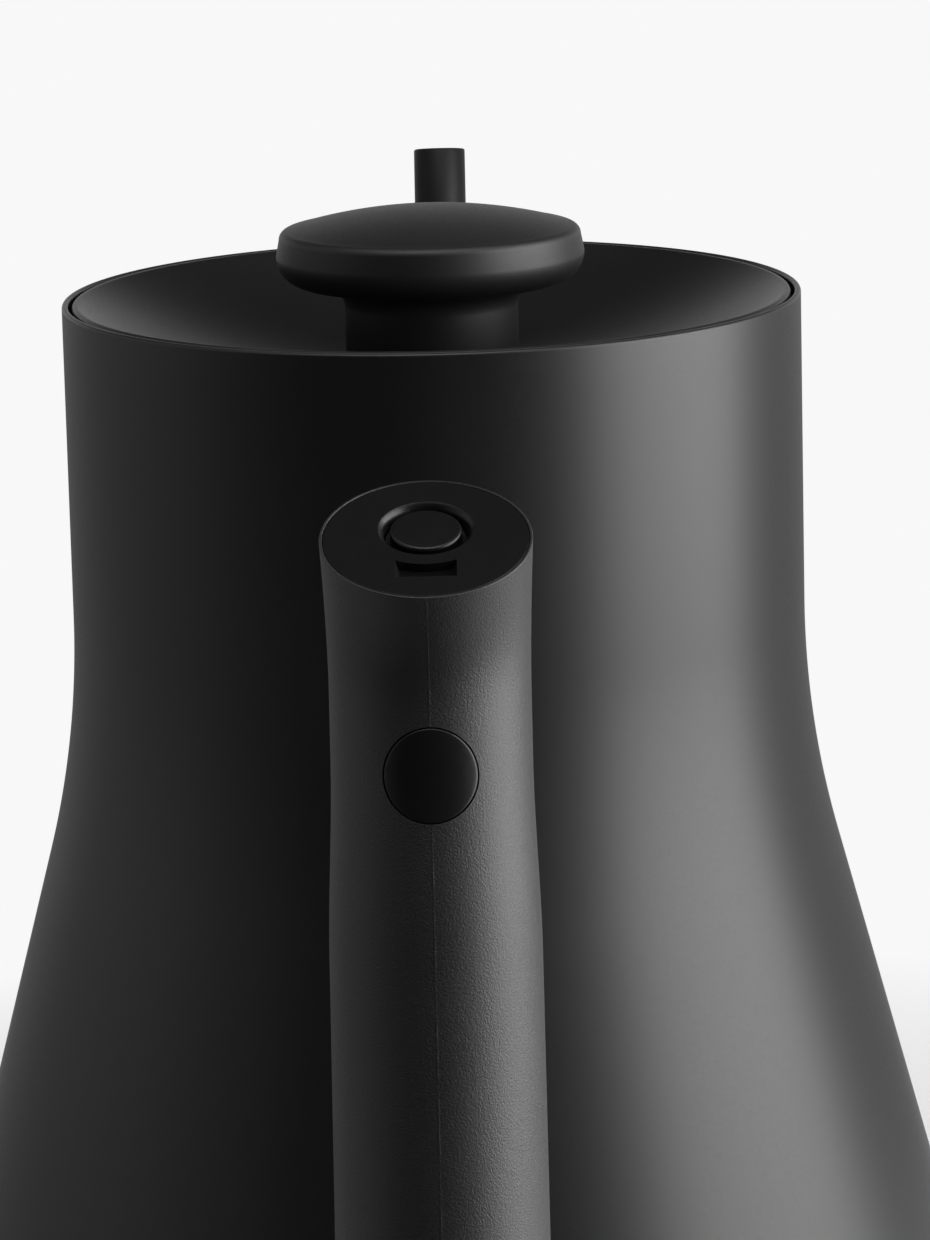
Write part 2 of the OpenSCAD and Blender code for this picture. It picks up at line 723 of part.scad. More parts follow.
module end_cap_screw() {
    seat = recess_floor - cap_head_h;
    tip = bar_end - bar_tap_depth + long_tip_gap;
    color(steel) top_axis() {
        translate([0, 0, seat]) cylinder(r = cap_head_r, h = cap_head_h - fit);
        translate([0, 0, tip]) cylinder(r = bar_screw_r, h = seat - tip);
    }
}

// Plug that closes the screw hole in the grip's back, flush with the round surface
module rear_plug() {
    color(nylon) intersection() {
        handle_side() grip_form();
        rear_axis() translate([0, 0, plug_back - rear_plug_t])
            cylinder(r = rear_plug_d/2 - fit, h = far/4);
    }
}

module rear_screw() {
    top = plug_back - rear_plug_t;
    tip = -bar_t/2 - bar_shift;
    color(steel) rear_axis() {
        translate([0, 0, top - rear_head_h]) cylinder(r = rear_head_r, h = rear_head_h - fit);
        translate([0, 0, tip]) cylinder(r = bar_screw_r, h = top - rear_head_h - tip);
    }
}

// Lid pan: a dished sheet with a rolled edge and a short skirt
lid_r = neck_r - hem_t - lid_gap;
lid_top = body_h - lid_drop;
edge_c = [lid_r - lid_edge_r, lid_top - lid_edge_r];
dish_reach = (edge_c.x*edge_c.x + dish_depth*dish_depth)/(2*dish_depth);
dish_r = dish_reach - lid_edge_r;
dish_c = [0, lid_top - dish_depth + dish_r];
dish_deg = asin(edge_c.x/dish_reach);
stem_r = stem_d/2;
seat_edge = 0.6;
seat_r = stem_r + seat_edge;
seat_deg = asin(seat_r/dish_r);
seat_z = dish_c.y - dish_r*cos(seat_deg);
skirt_z = lid_top - skirt_h;
knob_screw_r = 2;
module lid_pan() {
    color(coat) rotate_extrude() polygon(concat(
        [[knob_screw_r + fit, seat_z]],
        arc(dish_c, dish_r, -90 + seat_deg, -90 + dish_deg, 20),
        arc(edge_c, lid_edge_r, 90 + dish_deg, 0, 10),
        [[lid_r, skirt_z], [lid_r - pan_t, skirt_z]],
        arc(edge_c, lid_edge_r - pan_t, 0, 90 + dish_deg, 10),
        arc(dish_c, dish_r + pan_t, -90 + dish_deg, -90 + seat_deg, 20),
        [[seat_r, seat_z - pan_t], [knob_screw_r + fit, seat_z - pan_t]]));
}

// Liner: a shallow steel cup that closes the lid's underside, with vent holes
liner_top = seat_z - pan_t - liner_gap;
liner_r = lid_r - pan_t - fit;
vent_r = 1.6;
vent_count = 8;
vent_pitch = 30;
liner_lap = 2;
module liner_cup() {
    rotate_extrude() polygon([[knob_screw_r + fit, liner_top - pan_t], [lid_r, liner_top - pan_t],
        [lid_r, liner_top], [liner_r, liner_top], [liner_r, skirt_z + liner_lap],
        [liner_r - pan_t, skirt_z + liner_lap], [liner_r - pan_t, liner_top],
        [knob_screw_r + fit, liner_top]]);
}

module lid_liner() {
    color(steel) difference() {
        liner_cup();
        for (i = [0:vent_count - 1]) translate(polar(vent_pitch, 360*i/vent_count))
            cylinder(r = vent_r, h = far);
    }
}

// Sealing ring below the skirt, with one soft fin towards the neck
seal_fin_r = neck_r - wall - seal_clear;
fin_t = 1;
module lid_seal() {
    low = liner_top;
    mid = (skirt_z + liner_top)/2;
    color(silicone) rotate_extrude() polygon([[liner_r + fit, low], [lid_r, low],
        [lid_r, mid - fin_t], [seal_fin_r, mid], [seal_fin_r, mid + fin_t], [lid_r, mid + fin_t/2],
        [lid_r, skirt_z], [liner_r + fit, skirt_z]]);
}

// Knob: domed disc on a stem, with a brass insert, a screw and a washer
knob_r = knob_d/2;
shoulder_z = body_h + knob_rise;
disc_low = shoulder_z - disc_t;
shoulder_round = 1.1;
shoulder_taper = 0.4;
dome_edge = knob_r - shoulder_taper - shoulder_round;
dome_r = (dome_edge*dome_edge + dome_h*dome_h)/(2*dome_h);
dome_deg = asin(dome_edge/dome_r);
insert_r = 4;
insert_h = 8;
module lid_knob() {
    fillet_c = [stem_r + stem_fillet, disc_low - stem_fillet];
    color(nylon) rotate_extrude() polygon(concat(
        [[insert_r + fit, seat_z], [stem_r, seat_z]],
        arc(fillet_c, stem_fillet, 180, 90, 8),
        arc([knob_r - disc_round, disc_low + disc_round], disc_round, -90, 0, 10),
        arc([dome_edge, shoulder_z - shoulder_round], shoulder_round, 0, 90 - dome_deg, 6),
        arc([0, shoulder_z + dome_h - dome_r], dome_r, 90 - dome_deg, 90, 12),
        [[0, seat_z + insert_h + fit], [insert_r + fit, seat_z + insert_h + fit]]));
}

module knob_insert() {
    color(brass) translate([0, 0, seat_z]) difference() {
        cylinder(r = insert_r, h = insert_h);
        translate([0, 0, -over]) cylinder(r = knob_screw_r + fit/2, h = insert_h);
    }
}

knob_head_r = 4;
knob_head_h = 2.2;
knob_tip_gap = 2;
module knob_screw() {
    color(steel) translate([0, 0, liner_top - pan_t])
        screw(knob_head_r, knob_head_h, knob_screw_r, seat_z - liner_top + pan_t + insert_h - knob_tip_gap);
}

washer_r = 8;
module knob_washer() {
    color(silicone) translate([0, 0, liner_top]) difference() {
        cylinder(r = washer_r, h = liner_gap);
        translate([0, 0, -over]) cylinder(r = knob_screw_r + fit, h = liner_gap + 2*over);
    }
}

body_shell();
spout();
floor_plate();
heat_spreader();
heating_element();
element_pins();
terminal_straps();
temperature_probe();
probe_grommet();
safety_cutout();
cutout_screws();
coupler_housing();
coupler_pin();
coupler_ring();
coupler_screws();
base_cover();
base_seal();
base_screws();
handle_bar();
handle_grip();
end_cap();
end_cap_plug();
end_cap_screw();
rear_plug();
rear_screw();
lid_pan();
lid_liner();
lid_seal();
lid_knob();
knob_insert();
knob_screw();
knob_washer();
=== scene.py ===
import json
import math

import bmesh
import bpy
import numpy as np
from mathutils import Matrix, Vector


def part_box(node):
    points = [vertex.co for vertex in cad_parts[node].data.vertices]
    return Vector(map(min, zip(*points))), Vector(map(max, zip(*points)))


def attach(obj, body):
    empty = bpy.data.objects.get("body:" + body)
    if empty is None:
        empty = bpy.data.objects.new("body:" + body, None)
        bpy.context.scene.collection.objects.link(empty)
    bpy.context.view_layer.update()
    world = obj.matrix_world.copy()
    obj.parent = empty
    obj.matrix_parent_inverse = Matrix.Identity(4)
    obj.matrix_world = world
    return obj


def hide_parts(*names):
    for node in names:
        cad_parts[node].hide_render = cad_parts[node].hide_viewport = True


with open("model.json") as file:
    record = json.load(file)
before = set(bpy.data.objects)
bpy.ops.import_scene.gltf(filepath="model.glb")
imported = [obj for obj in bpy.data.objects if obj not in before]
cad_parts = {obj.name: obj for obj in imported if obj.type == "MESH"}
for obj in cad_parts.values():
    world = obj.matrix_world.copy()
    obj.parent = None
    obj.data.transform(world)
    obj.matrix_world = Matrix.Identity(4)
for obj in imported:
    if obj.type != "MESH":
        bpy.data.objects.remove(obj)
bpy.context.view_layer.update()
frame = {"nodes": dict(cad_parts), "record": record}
cadNodes = frame["nodes"]
mm = 0.001
sharpEdge = 38  # degrees between two faces past which their edge stays sharp
print("frame loaded:", len(cadNodes), "nodes")

cameraFit = {"target": (0.00322, 0.0, 0.11424), "distance": 0.720, "pitch": 12.119, "azimuth": 0.42,
             "roll": -1.389, "lens": 165.7, "sensor": 36, "clip": (0.02, 40)}


def addCamera(c):  # stands back from the target by azimuth and pitch, then rolls about its own view line
    a, e, rho = (math.radians(c[k]) for k in ("azimuth", "pitch", "roll"))
    back = Vector((math.sin(a) * math.cos(e), -math.cos(a) * math.cos(e), math.sin(e)))
    right = Vector((math.cos(a), math.sin(a), 0))
    up = back.cross(right)
    x = right * math.cos(rho) + up * math.sin(rho)
    y = up * math.cos(rho) - right * math.sin(rho)
    cam = bpy.data.objects.new("camera", bpy.data.cameras.new("camera"))
    cam.data.lens, cam.data.sensor_width = c["lens"], c["sensor"]
    cam.data.clip_start, cam.data.clip_end = c["clip"]
    bpy.context.scene.collection.objects.link(cam)
    pose = Matrix((x, y, back)).transposed().to_4x4()
    pose.translation = Vector(c["target"]) + back * c["distance"]
    cam.matrix_world = pose
    bpy.context.scene.camera = cam


addCamera(cameraFit)
print("camera set")


def arcPoints(cx, cz, r, a0, a1, n):  # n points of a circle about (cx, cz), angles in degrees
    a = np.radians(np.linspace(a0, a1, n))
    return np.stack([cx + r * np.cos(a), cz + r * np.sin(a)], 1)


def linePoints(p, q, n):  # n evenly spaced points from p to q
    t = np.linspace(0, 1, n)[:, None]
    return np.array(p) * (1 - t) + np.array(q) * t


def joinProfile(*runs):  # runs of points end to end, with repeats dropped
    pts = np.concatenate([np.asarray(r, float).reshape(-1, 2) for r in runs])
    keep = np.r_[True, np.linalg.norm(np.diff(pts, axis=0), axis=1) > 1e-6]
    return pts[keep]


def gridPiece(name, grid, wrapRows=False, sharpDeg=sharpEdge, rowSlot=None):
    # rows x columns of points become one skin: columns close on themselves, rows only if asked
    rows, cols = grid.shape[:2]
    i, j = np.meshgrid(np.arange(rows if wrapRows else rows - 1), np.arange(cols), indexing="ij")
    n, k = (i + 1) % rows, (j + 1) % cols
    quads = np.stack([i * cols + j, i * cols + k, n * cols + k, n * cols + j], -1).reshape(-1, 4)
    mesh = bpy.data.meshes.new(name)
    mesh.vertices.add(rows * cols)
    mesh.vertices.foreach_set("co", grid.reshape(-1).astype(np.float32))
    mesh.loops.add(quads.size)
    mesh.loops.foreach_set("vertex_index", quads.reshape(-1).astype(np.int32))
    mesh.polygons.add(len(quads))
    mesh.polygons.foreach_set("loop_start", np.arange(0, quads.size, 4, dtype=np.int32))
    if rowSlot is not None:
        mesh.polygons.foreach_set("material_index", np.asarray(rowSlot, np.int32)[i].reshape(-1))
    mesh.update(calc_edges=True)
    obj = bpy.data.objects.new(name, mesh)
    bpy.context.scene.collection.objects.link(obj)
    tidyMesh(obj, sharpDeg)
    return obj


def tidyMesh(obj, sharpDeg):  # closes poles and seams, turns faces outwards, smooths all but real edges
    bm = bmesh.new()
    bm.from_mesh(obj.data)
    bmesh.ops.remove_doubles(bm, verts=bm.verts, dist=1e-7)
    bmesh.ops.dissolve_degenerate(bm, edges=bm.edges, dist=1e-8)
    bmesh.ops.recalc_face_normals(bm, faces=bm.faces)
    bm.to_mesh(obj.data)
    bm.free()
    obj.data.polygons.foreach_set("use_smooth", np.ones(len(obj.data.polygons), bool))
    obj.data.set_sharp_from_angle(angle=math.radians(sharpDeg))
    obj.data.update()


def moved(grid, at):  # points turned and shifted by the 4 x 4 matrix at
    return grid @ at[:3, :3].T + at[:3, 3]


def turnedGrid(profile, cols, at=None):  # a profile of (radius, height) turned about Z, then moved
    a = np.linspace(0, 2 * np.pi, cols, endpoint=False)
    r, z = profile[:, :1], profile[:, 1:]
    grid = np.stack([r * np.cos(a), r * np.sin(a), z + 0 * a], -1)
    return grid if at is None else moved(grid, at)


def cutAway(obj, cutter, sharpDeg=sharpEdge):  # takes the cutter's volume out of obj and removes the cutter
    mod = obj.modifiers.new("cut", "BOOLEAN")
    mod.operation, mod.solver, mod.object = "DIFFERENCE", "EXACT", cutter
    bpy.context.view_layer.update()
    done = bpy.data.meshes.new_from_object(obj.evaluated_get(bpy.context.evaluated_depsgraph_get()))
    obj.modifiers.clear()
    old, obj.data = obj.data, done
    bpy.data.meshes.remove(old)
    bpy.data.objects.remove(cutter)
    tidyMesh(obj, sharpDeg)


def evenNormals(obj):  # large flat faces keep their own normal beside small rounded edges
    mod = obj.modifiers.new("normals", "WEIGHTED_NORMAL")
    mod.keep_sharp, mod.weight = True, 90


def routeTable(start, headings, lengths, ease=0, easeAfter=0, n=6000):
    # plane curve whose heading in degrees is linear along each length, and past easeAfter is the mean
    # over a stretch of that length; its place is the running sum
    stops = np.r_[0, np.cumsum(lengths)]
    s = np.linspace(0, stops[-1], n)
    h = np.radians(np.interp(s, stops, headings))
    if ease:
        half = round(ease / (2 * s[1]))
        mean = np.convolve(np.pad(h, half, mode="edge"), np.ones(2 * half + 1) / (2 * half + 1), "valid")
        h = np.where(s > easeAfter, mean, h)
    step, mid = s[1] - s[0], (h[1:] + h[:-1]) / 2
    u = start[0] + np.r_[0, np.cumsum(np.cos(mid)) * step]
    z = start[1] + np.r_[0, np.cumsum(np.sin(mid)) * step]
    return {"s": s, "u": u, "z": z, "h": h, "stops": stops, "end": stops[-1]}


def onRoute(route, s, key):  # u, z or heading h at distance s, read between the table's rows
    return np.interp(s, route["s"], route[key])


def tubePoint(route, s, theta, r, side):
    # point r from the axis at distance s, turned theta from the outer side; side +1 runs to +Y, -1 to -Y
    u, z, h = (onRoute(route, s, k) for k in "uzh")
    return np.stack([r * np.sin(theta), side * (u + r * np.cos(theta) * np.sin(h)),
                     z - r * np.cos(theta) * np.cos(h)], -1)


def trimTo(route, theta, radiusAt, side, low, high, outside, halvings=40):
    # for every theta, halves the span low..high towards the place where outside(point) turns positive
    lo, hi = np.full(theta.shape, low), np.full(theta.shape, high)
    for _ in range(halvings):
        mid = (lo + hi) / 2
        out = outside(tubePoint(route, mid, theta, radiusAt(mid), side)) > 0
        hi, lo = np.where(out, mid, hi), np.where(out, lo, mid)
    return (lo + hi) / 2


def newMaterial(name):  # material, its node tree, its main shader and the object's own coordinates
    mat = bpy.data.materials.new(name)
    mat.use_nodes = True
    tree = mat.node_tree
    coord = tree.nodes.new("ShaderNodeTexCoord")
    return mat, tree, tree.nodes["Principled BSDF"], coord.outputs["Object"]


def addNoise(tree, coord, scale, detail=3.0, rough=0.5):
    node = tree.nodes.new("ShaderNodeTexNoise")
    node.inputs["Scale"].default_value = scale
    node.inputs["Detail"].default_value = detail
    node.inputs["Roughness"].default_value = rough
    tree.links.new(coord, node.inputs["Vector"])
    return node.outputs["Fac"]


def addRange(tree, value, low, high, fromLow=0.3, fromHigh=0.7):  # stretches fromLow..fromHigh to low..high
    node = tree.nodes.new("ShaderNodeMapRange")
    for key, v in (("From Min", fromLow), ("From Max", fromHigh), ("To Min", low), ("To Max", high)):
        node.inputs[key].default_value = v
    tree.links.new(value, node.inputs["Value"])
    return node.outputs["Result"]


def addMix(tree, value, low, high):  # colour low where value is 0, high where it is 1
    node = tree.nodes.new("ShaderNodeMix")
    node.data_type = "RGBA"
    node.inputs[6].default_value, node.inputs[7].default_value = (*low, 1), (*high, 1)
    tree.links.new(value, node.inputs[0])
    return node.outputs[2]


def addBump(tree, shader, height, distance, strength, under=None):  # relief laid over the one under it
    node = tree.nodes.new("ShaderNodeBump")
    node.inputs["Distance"].default_value = distance
    node.inputs["Strength"].default_value = strength
    tree.links.new(height, node.inputs["Height"])
    if under is not None:
        tree.links.new(under, node.inputs["Normal"])
    tree.links.new(node.outputs["Normal"], shader.inputs["Normal"])
    return node.outputs["Normal"]


def finishOf(name, dark, light, rough, cloud=60, grain=2500, depth=0.02, strength=0.3,
             wave=0, waveDepth=0.0, metal=0.0, specular=0.5):
    # colour drifts in soft clouds, and a fine grain over an optional slow wave gives roughness and relief
    mat, tree, shader, coord = newMaterial(name)
    clouds = addNoise(tree, coord, cloud, detail=4.0, rough=0.55)
    fine = addNoise(tree, coord, grain, detail=2.0, rough=0.6)
    tree.links.new(addMix(tree, addRange(tree, clouds, 0, 1), dark, light), shader.inputs["Base Color"])
    tree.links.new(addRange(tree, fine, *rough), shader.inputs["Roughness"])
    shader.inputs["Metallic"].default_value = metal
    shader.inputs["Specular IOR Level"].default_value = specular
    normal = addBump(tree, shader, fine, depth * mm, strength)
    if wave:
        slow = addNoise(tree, coord, wave, detail=1.0, rough=0.4)
        addBump(tree, shader, slow, waveDepth * mm, strength=1.0, under=normal)
    return mat


finishes = {
    "coat": finishOf("satinBlackCoat", (0.003, 0.003, 0.0032), (0.0038, 0.0038, 0.004), (0.37, 0.44),
                     cloud=35, grain=3200, depth=0.012, strength=0.25, wave=160, waveDepth=0.006),
    "grip": finishOf("grainedBlackGrip", (0.0032, 0.0032, 0.0034), (0.005, 0.005, 0.0052), (0.45, 0.56),
                     cloud=120, grain=4600, depth=0.075, strength=0.8, specular=0.7),
    "cover": finishOf("smoothBlackCover", (0.004, 0.004, 0.0042), (0.0052, 0.0052, 0.0054), (0.3, 0.37),
                      cloud=150, grain=3500, depth=0.014, strength=0.25, specular=0.36),
    "spout": finishOf("dullBlackCoat", (0.003, 0.003, 0.0032), (0.0038, 0.0038, 0.004), (0.48, 0.56),
                      cloud=35, grain=3200, depth=0.012, strength=0.25, specular=0.23),
    "knob": finishOf("mattBlackKnob", (0.0045, 0.0045, 0.0047), (0.0058, 0.0058, 0.006), (0.46, 0.55),
                     cloud=90, grain=3000, depth=0.016, strength=0.3, specular=0.52),
    "base": finishOf("blackBaseMoulding", (0.014, 0.014, 0.0145), (0.019, 0.019, 0.0195), (0.5, 0.62),
                     cloud=80, grain=1800, depth=0.03, strength=0.35),
    "steel": finishOf("bareSteel", (0.56, 0.56, 0.565), (0.66, 0.66, 0.665), (0.3, 0.4),
                      cloud=70, grain=1500, depth=0.004, strength=0.1, metal=1.0),
    "screw": finishOf("screwSteel", (0.46, 0.46, 0.47), (0.58, 0.58, 0.59), (0.3, 0.42),
                      cloud=300, grain=2500, depth=0.006, strength=0.2, metal=1.0),
    "aluminium": finishOf("castAluminium", (0.58, 0.585, 0.59), (0.68, 0.685, 0.69), (0.45, 0.6),
                          cloud=140, grain=1200, depth=0.03, strength=0.4, metal=1.0),
    "brass": finishOf("contactBrass", (0.58, 0.42, 0.17), (0.7, 0.53, 0.25), (0.25, 0.38),
                      cloud=200, grain=2000, depth=0.005, strength=0.2, metal=1.0),
    "silicone": finishOf("dullSilicone", (0.03, 0.03, 0.032), (0.04, 0.04, 0.042), (0.6, 0.75),
                         cloud=90, grain=1800, depth=0.02, strength=0.3),
}
slotFinish = {"body_coat": "coat", "grip_plastic": "grip", "cover_plastic": "cover", "knob_plastic": "knob",
              "base_plastic": "base", "bare_steel": "steel", "screw_steel": "screw",
              "cast_aluminium": "aluminium", "contact_brass": "brass", "silicone": "silicone"}

for part in frame["record"]["subparts"]:
    obj = cadNodes[part["node"]]
    obj.data.materials.clear()
    obj.data.materials.append(finishes[slotFinish[part["material_slot"]]])
print("materials set:", len(finishes))


def place(obj, body, slot, replaced, inner=None, finish=None):
    # gives the slot's finish or one of its own, and an inner one after it, then hangs it under the body's
    # empty and hides the CAD node it replaces
    obj.data.materials.append(finishes[finish or slotFinish[slot]])
    if inner:
        obj.data.materials.append(finishes[inner])
    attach(obj, body)
    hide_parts(replaced)
    print("made", obj.name, len(obj.data.polygons), "faces")
    return obj


vessel = {"height": 156 * mm, "neckR": 46 * mm, "neckLen": 39.5 * mm, "flareR": 117 * mm, "flareDeg": 15.0,
          "footR": 8 * mm, "footLift": 1 * mm, "wall": 0.8 * mm, "rimH": 6 * mm, "coatStep": 0.1 * mm,
          "coneTop": 33 * mm, "coneLow": 5 * mm, "collarR": 60 * mm, "collarH": 6 * mm, "rootSink": 0.3 * mm,
          "toe": ((1 * mm, 0), (0.3 * mm, 0.2 * mm), (0, 0.8 * mm)), "columns": 288}  # toe: foot to collar


def coneRadius(off, z):  # radius at height z of the cone below the flare, moved inwards by off
    v, a = vessel, math.radians(vessel["flareDeg"])
    cx, cz = v["neckR"] + v["flareR"], v["height"] - v["neckLen"]
    ex, ez = cx - (v["flareR"] + off) * math.cos(a), cz - (v["flareR"] + off) * math.sin(a)
    return ex + (ez - z) * math.tan(a)


def pastCone(q):  # how far points lie outside the cone, taken rootSink inwards so that tubes enter the wall
    return np.hypot(q[:, 0], q[:, 1]) - coneRadius(vessel["rootSink"], q[:, 2])


def vesselSide(off, top):  # neck line, hollow arc, cone line and foot arc, all moved inwards by off
    v = vessel
    cx, cz = v["neckR"] + v["flareR"], v["height"] - v["neckLen"]
    fz = v["footLift"] + v["footR"]
    high, low = cz - v["coneTop"], fz + v["coneLow"]
    return joinProfile(
        linePoints((v["neckR"] - off, top), (v["neckR"] - off, cz), 10),
        arcPoints(cx, cz, v["flareR"] + off, 180, 180 + v["flareDeg"], 28),
        linePoints((coneRadius(off, high), high), (coneRadius(off, low), low), 18),
        arcPoints(coneRadius(v["footR"], fz), fz, v["footR"] - off, v["flareDeg"], -90, 18))


def makeVessel():  # the outside, foot, collar, inside and rounded rim as one closed profile turned about Z
    v = vessel
    lip, neck, top = v["wall"] / 2, v["neckR"], v["height"]
    c, low, t, hem = v["collarR"], v["footLift"], v["wall"], v["height"] - v["rimH"]
    outside = joinProfile(
        vesselSide(0, top - lip), np.array(v["toe"]) + (c, low),
        [(c, low + v["collarH"]), (c + t, low + v["collarH"]), (c + t, low + t)])
    inside = vesselSide(t, hem)[::-1]
    rim = joinProfile([(neck - t, hem + v["coatStep"])], arcPoints(neck - lip, top - lip, lip, 180, 6, 16))
    steel = np.r_[np.zeros(len(outside)), np.ones(len(inside)), np.zeros(len(rim))]
    obj = gridPiece("vesselShell", turnedGrid(np.concatenate([outside, inside, rim]), v["columns"]),
                    wrapRows=True, rowSlot=steel)
    cutAway(obj, spoutBore())
    return place(obj, "kettle", "body_coat", "body_shell", "steel")


spout = {"rootZ": 38 * mm, "rootD": 20 * mm, "bendD": 9.4 * mm, "tipD": 7.6 * mm, "wall": 0.6 * mm,
         "inset": 7 * mm, "rootLen": 27 * mm, "rootDeg": 20.0, "bendR": 50 * mm, "neckDeg": 71.0,
         "crookR": 45 * mm, "tipDeg": 56.0, "tipDrop": 1 * mm, "tipTilt": 10.0, "overDeg": 12.0,
         "lip": 0.25 * mm, "lipShares": (0.12, 0.35, 0.65, 0.88), "lipPower": 0.7, "fillet": 1.6 * mm,
         "boreOver": 4 * mm, "boreColumns": 48, "rootReach": 12 * mm, "tipReach": 5 * mm, "sharpDeg": 50,
         "columns": 96, "rows": 200, "nearLen": 3 * mm, "nearRows": 12, "nearPower": 1.5, "mouthRows": 24}


def spoutRoute():  # straight root, upward bend, straight neck, and a crook that ends level with the rim
    p = spout
    root, neck, tip = (math.radians(p[k]) for k in ("rootDeg", "neckDeg", "tipDeg"))
    start = (coneRadius(0, p["rootZ"]) - p["inset"] * math.cos(root),
             p["rootZ"] - p["inset"] * math.sin(root))
    first = p["inset"] + p["rootLen"]
    bendTop = start[1] + first * math.sin(root) + p["bendR"] * (math.cos(root) - math.cos(neck))
    tipZ = vessel["height"] - p["tipDrop"]
    neckLen = (tipZ - bendTop - p["crookR"] * (math.cos(tip) - math.cos(neck))) / math.sin(neck)
    last = tip - math.radians(p["overDeg"])
    return routeTable(start, [p["rootDeg"], p["rootDeg"], p["neckDeg"], p["neckDeg"], math.degrees(last)],
                      [first, p["bendR"] * (neck - root), neckLen, p["crookR"] * (neck - last)])


spoutLine = spoutRoute()


def spoutRadius(s):  # eases from root to bend as 3t^2 - 2t^3, then narrows evenly along the neck
    stops = spoutLine["stops"]
    t = np.clip(s / stops[1], 0, 1)
    k = np.clip((s - stops[2]) / (stops[3] - stops[2]), 0, 1)
    return (spout["rootD"] + (spout["bendD"] - spout["rootD"]) * t * t * (3 - 2 * t)
            + (spout["tipD"] - spout["bendD"]) * k) / 2


def spoutBore():  # the tube's inside at its root, closed at both ends
    p = spout
    s = np.linspace(0, p["inset"] + p["boreOver"], 12)[:, None]
    a = np.linspace(0, 2 * np.pi, p["boreColumns"], endpoint=False)[None, :]
    skin = tubePoint(spoutLine, s + 0 * a, a + 0 * s, spoutRadius(s) - p["wall"] + 0 * a, 1)
    ends = [np.repeat(skin[k].mean(0)[None, None], p["boreColumns"], 1) for k in (0, -1)]
    return gridPiece("boreCutter", np.concatenate([ends[0], skin, ends[1]]))


def makeSpout():  # outer skin, rounded lip and inner skin along the route, rooted on the cone with a fillet
    p = spout
    a = np.linspace(0, 2 * np.pi, p["columns"], endpoint=False)
    tipZ, slope = vessel["height"] - p["tipDrop"] - p["lip"], math.tan(math.radians(p["tipTilt"]))
    tipY = float(np.interp(tipZ, spoutLine["z"], spoutLine["u"]))

    def pastMouth(q):  # height over a plane that falls forwards from the tip's centre
        return q[:, 2] - tipZ + slope * (q[:, 1] - tipY)

    def skin(off, fillet):
        radiusAt = lambda s: spoutRadius(s) - off
        s0 = trimTo(spoutLine, a, radiusAt, 1, 0, p["inset"] + p["rootReach"], pastCone)
        s1 = trimTo(spoutLine, a, radiusAt, 1, spoutLine["stops"][3] - p["tipReach"], spoutLine["end"],
                    pastMouth)
        near = np.linspace(0, 1, p["nearRows"])[:-1, None] ** p["nearPower"] * p["nearLen"]
        first = s0 + p["nearLen"]  # rows are close together from the wall to here
        s = np.concatenate([s0 + near, first + (s1 - first) * np.linspace(0, 1, p["rows"])[:, None]])
        rise = np.clip(1 - (s - s0) / (fillet + 1e-9), 0, 1)  # quarter circle: f less root of f^2 - rest^2
        return tubePoint(spoutLine, s, a + 0 * s, radiusAt(s) + fillet * (1 - np.sqrt(1 - rise**2)), 1)

    outer, inner = skin(0, p["fillet"]), skin(p["wall"], 0)[::-1]
    between = np.array(p["lipShares"])[:, None, None]
    lip = outer[-1] * (1 - between) + inner[0] * between
    lip[..., 2] += p["lip"] * np.sin(np.pi * between[..., 0]) ** p["lipPower"]
    steel = np.r_[np.zeros(len(outer) + len(lip) + p["mouthRows"]), np.ones(len(inner) - p["mouthRows"])]
    obj = gridPiece("spoutTube", np.concatenate([outer, lip, inner]), wrapRows=True,
                    sharpDeg=p["sharpDeg"], rowSlot=steel)
    return place(obj, "kettle", "body_coat", "spout", "steel", "spout")


handle = {"armZ": 32 * mm, "armDeg": 5.0, "armLen": 27 * mm, "inset": 6 * mm, "bendR": 24 * mm, "lean": 11.0,
          "crookR": 20 * mm, "crookEase": 12 * mm, "tilt": 22.0, "topLen": 6.5 * mm, "drop": 10.55 * mm,
          "rootReach": 9 * mm, "armD": 26 * mm, "lowD": 23.2 * mm, "waistD": 22 * mm, "topD": 23 * mm,
          "waistLen": 8 * mm, "swell": 21 * mm, "growth": 0.0035, "flareLen": 17 * mm, "flarePower": 1.4,
          "lipT": 0.3 * mm, "capT": 3.4 * mm, "capRim": 1 * mm, "spigotWall": 1.4 * mm, "edge": 0.1 * mm,
          "lipEdge": 0.06 * mm, "seamH": 0.04 * mm, "seamDeg": 0.5, "seamColumns": (0.25, 0.5, 0.8, 1.2),
          "wear": (0.6, 0.4), "wearLens": (0.9 * mm, 2.3 * mm), "columns": 168, "rows": 320}


def handleRoute():  # arm, bend, leaning grip, crook and short flared top
    h = handle
    arm, grip, top = (math.radians(v) for v in (h["armDeg"], 90 + h["lean"], 90 - h["tilt"]))
    start = (coneRadius(0, h["armZ"]) - h["inset"] * math.cos(arm), h["armZ"] - h["inset"] * math.sin(arm))
    first = h["inset"] + h["armLen"]
    bendTop = start[1] + first * math.sin(arm) + h["bendR"] * (math.cos(arm) - math.cos(grip))
    gripLen = (vessel["height"] - h["drop"] - bendTop - h["crookR"] * (math.cos(top) - math.cos(grip))
               - h["topLen"] * math.sin(top)) / math.sin(grip)
    turns = [h["armDeg"], h["armDeg"], 90 + h["lean"], 90 + h["lean"], 90 - h["tilt"], 90 - h["tilt"]]
    bend, crook = h["bendR"] * (grip - arm), h["crookR"] * (grip - top)
    return routeTable(start, turns, [first, bend, gripLen, crook, h["topLen"]], h["crookEase"],
                      first + bend + gripLen / 2)


handleLine = handleRoute()


